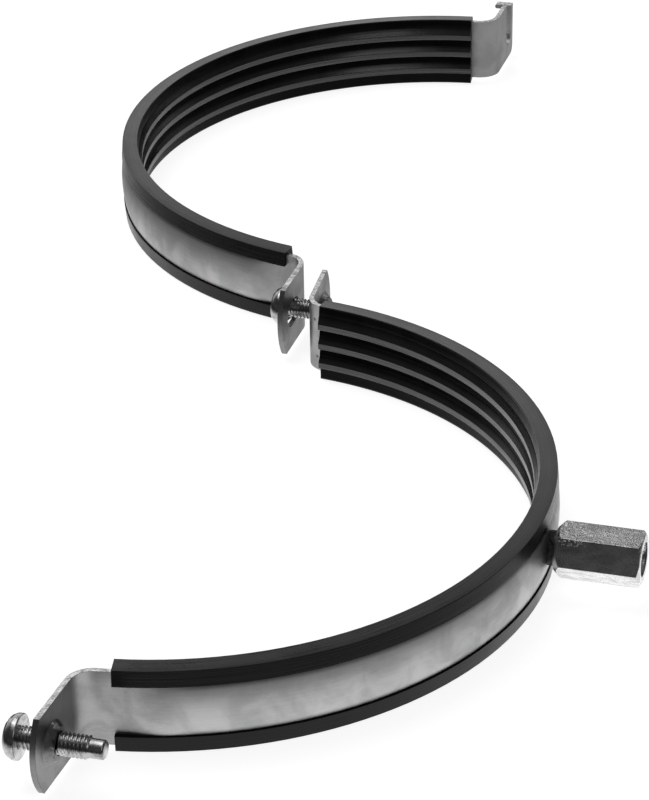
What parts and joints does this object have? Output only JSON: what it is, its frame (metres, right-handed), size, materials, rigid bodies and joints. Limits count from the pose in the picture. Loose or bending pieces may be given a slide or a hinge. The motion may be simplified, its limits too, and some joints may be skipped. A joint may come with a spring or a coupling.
{
  "type": "rubber lined pipe clamp",
  "caption": "Two-part quick-release pipe clamp with a ribbed rubber lining, swung open, with a long threaded connection nut and a hooked closing ear.",
  "frame": {"origin": "centre of the base half's pipe seat, at half the width of the band", "axes": "+Z along the pipe, +X out along the connection nut's thread, +Y from the lock screw towards the hinge screw"},
  "size_m": [0.2134, 0.4727, 0.0238],
  "materials": {
    "band_steel": "satin zinc plated",
    "nut_steel": "satin zinc plated",
    "screw_steel": "bright zinc plated",
    "lining_rubber": "satin"
  },
  "bodies": {
    "base": {"base_band": "band_steel", "base_lining": "lining_rubber", "connection_nut": "nut_steel"},
    "swing": {"swing_band": "band_steel", "swing_lining": "lining_rubber"},
    "lock_screw": {"lock_screw": "screw_steel"},
    "hinge_screw": {"hinge_screw": "screw_steel"}
  },
  "joints": [
    {"name": "swing_hinge", "type": "hinge", "parent": "base", "child": "swing", "pos_m": [-0.0022, 0.1142, 0], "axis": [0.9999, -0.0133, 0], "range_deg": [-176, 180]},
    {"name": "lock_screw_travel", "type": "slide", "parent": "base", "child": "lock_screw", "axis": [-1, 0, 0], "range_m": [-0.0032, 0.008]},
    {"name": "hinge_screw_travel", "type": "slide", "parent": "base", "child": "hinge_screw", "axis": [-0.9999, 0.0133, 0], "range_m": [-0.0013, 0.005]}
  ]
}
